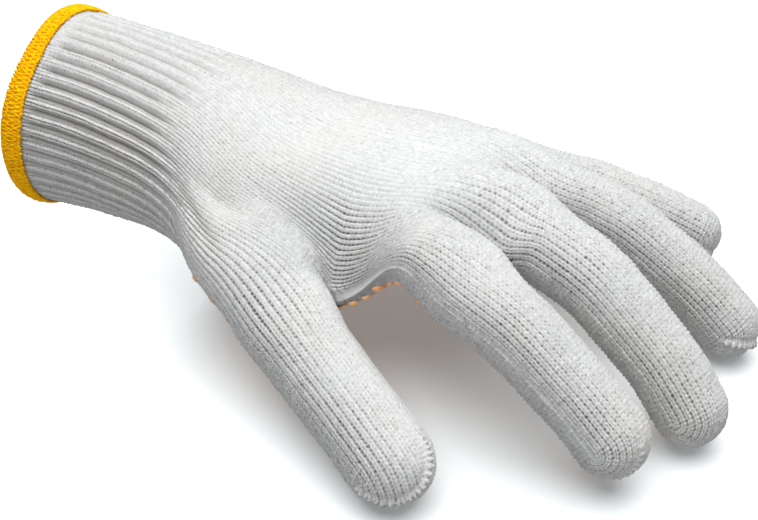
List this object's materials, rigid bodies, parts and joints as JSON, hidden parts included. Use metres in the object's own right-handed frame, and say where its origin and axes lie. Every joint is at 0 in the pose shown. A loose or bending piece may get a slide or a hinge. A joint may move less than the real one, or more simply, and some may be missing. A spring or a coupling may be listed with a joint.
{
  "type": "cotton work glove",
  "caption": "White machine-knit cotton work glove for the left hand, with a ribbed cuff, a yellow overlocked edge and grip dots on the palm, keeping the form of a hand.",
  "frame": {"origin": "centre of the cuff's opening, where the wrist goes in", "axes": "+X along the hand to the fingertips, +Y to the little finger's side, +Z to the back of the hand"},
  "size_m": [0.2117, 0.1396, 0.0652],
  "materials": {
    "white_cotton_knit": "matte knitted cotton yarn",
    "yellow_overlock_yarn": "matte textured yarn"
  },
  "bodies": {
    "root": {"thumb": "white_cotton_knit", "index_finger": "white_cotton_knit", "middle_finger": "white_cotton_knit", "ring_finger": "white_cotton_knit", "little_finger": "white_cotton_knit", "upper_palm": "white_cotton_knit", "lower_palm": "white_cotton_knit", "rib_cuff": "white_cotton_knit", "cuff_edging": "yellow_overlock_yarn"}
  },
  "joints": []
}
